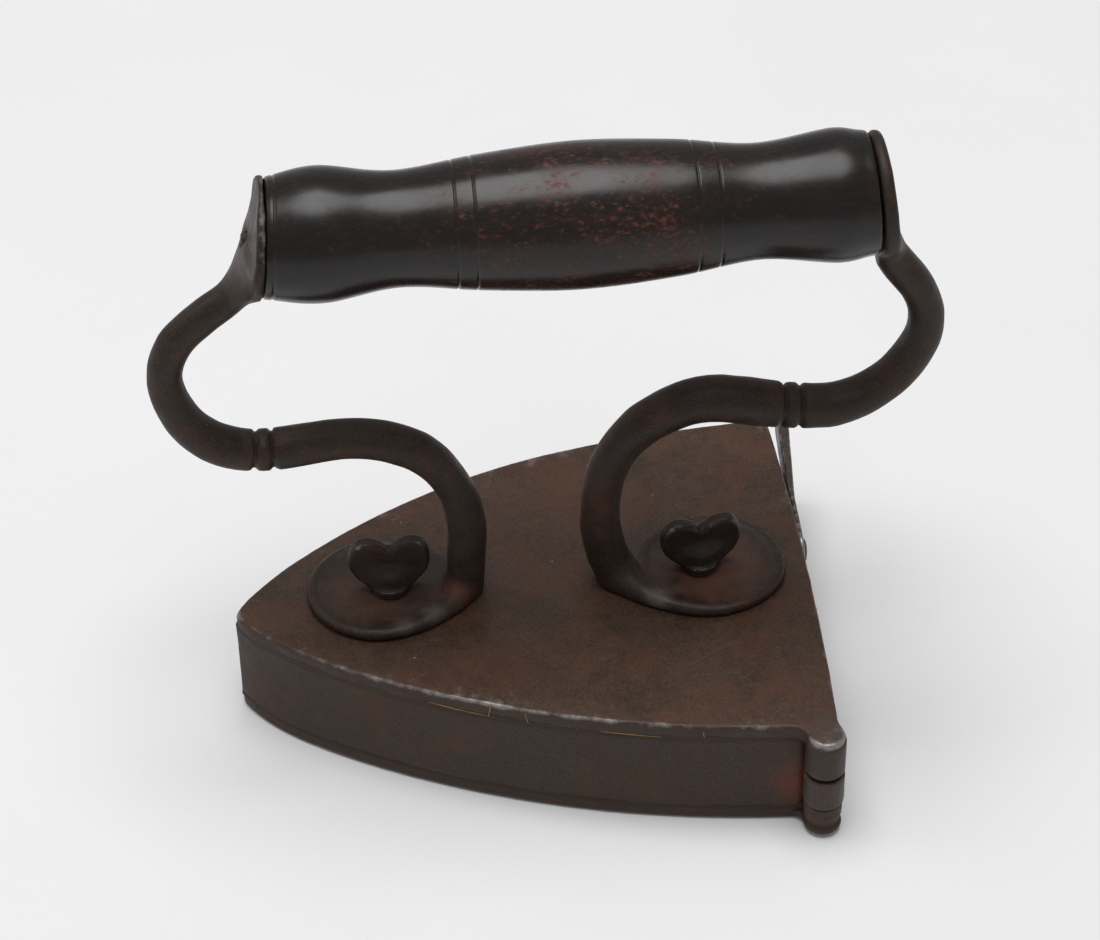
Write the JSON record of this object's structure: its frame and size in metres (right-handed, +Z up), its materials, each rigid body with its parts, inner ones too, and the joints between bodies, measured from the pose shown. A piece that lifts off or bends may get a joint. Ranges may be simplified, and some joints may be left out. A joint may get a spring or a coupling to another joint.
{
  "type": "slug iron",
  "caption": "Hollow slug iron with a flat pointed sole, a hinged heel door with a pivoting latch, and a turned wooden grip on S-bent posts clamped by wing nuts.",
  "frame": {"origin": "on the flat sole, half way along the body and on its middle line", "axes": "+X from the nose to the heel door, +Y away from the door hinge, +Z up from the sole"},
  "size_m": [0.1665, 0.1109, 0.1412],
  "materials": {
    "plate_iron": "dark brown rust patina with fine scratches",
    "wall_iron": "grey-brown worn iron with golden brazed seams",
    "rod_iron": "dark brown forged rod, lightly pitted",
    "nut_iron": "dark brown forged iron",
    "hinge_iron": "grey-brown worn iron with rust",
    "latch_iron": "dark worn iron with bright edges",
    "slug_iron": "rough fire-scaled iron",
    "ebonised_wood": "satin black stain worn to red-brown specks"
  },
  "bodies": {
    "iron": {"sole_plate": "wall_iron", "side_band": "wall_iron", "top_plate": "plate_iron", "hinge_pin": "hinge_iron", "latch_keeper": "latch_iron", "keeper_rivet_front": "latch_iron", "keeper_rivet_rear": "latch_iron", "front_stud": "nut_iron", "rear_stud": "nut_iron", "front_post": "rod_iron", "rear_post": "rod_iron", "grip": "ebonised_wood", "grip_tang": "rod_iron"},
    "heel_door": {"door": "hinge_iron", "latch_rivet": "latch_iron"},
    "latch": {"latch_lever": "latch_iron"},
    "front_nut": {"front_wing_nut": "nut_iron"},
    "rear_nut": {"rear_wing_nut": "nut_iron"},
    "heated_slug": {"slug": "slug_iron"}
  },
  "joints": [
    {"name": "door_hinge", "type": "hinge", "parent": "iron", "child": "heel_door", "pos_m": [0.0589, -0.0532, 0.012], "axis": [0, 0, 1], "range_deg": [-220, 0]},
    {"name": "latch_pivot", "type": "hinge", "parent": "heel_door", "child": "latch", "pos_m": [0.0635, 0.0135, 0.0195], "axis": [1, 0, 0], "range_deg": [-24, 75]},
    {"name": "front_nut_turn", "type": "hinge", "parent": "iron", "child": "front_nut", "pos_m": [-0.029, 0, 0.0302], "axis": [0, 0, 1], "continuous": true},
    {"name": "rear_nut_turn", "type": "hinge", "parent": "iron", "child": "rear_nut", "pos_m": [0.0392, 0, 0.0302], "axis": [0, 0, 1], "continuous": true},
    {"name": "slug_play", "type": "slide", "parent": "iron", "child": "heated_slug", "axis": [1, 0, 0], "range_m": [-0.0008, 0.0016]}
  ]
}
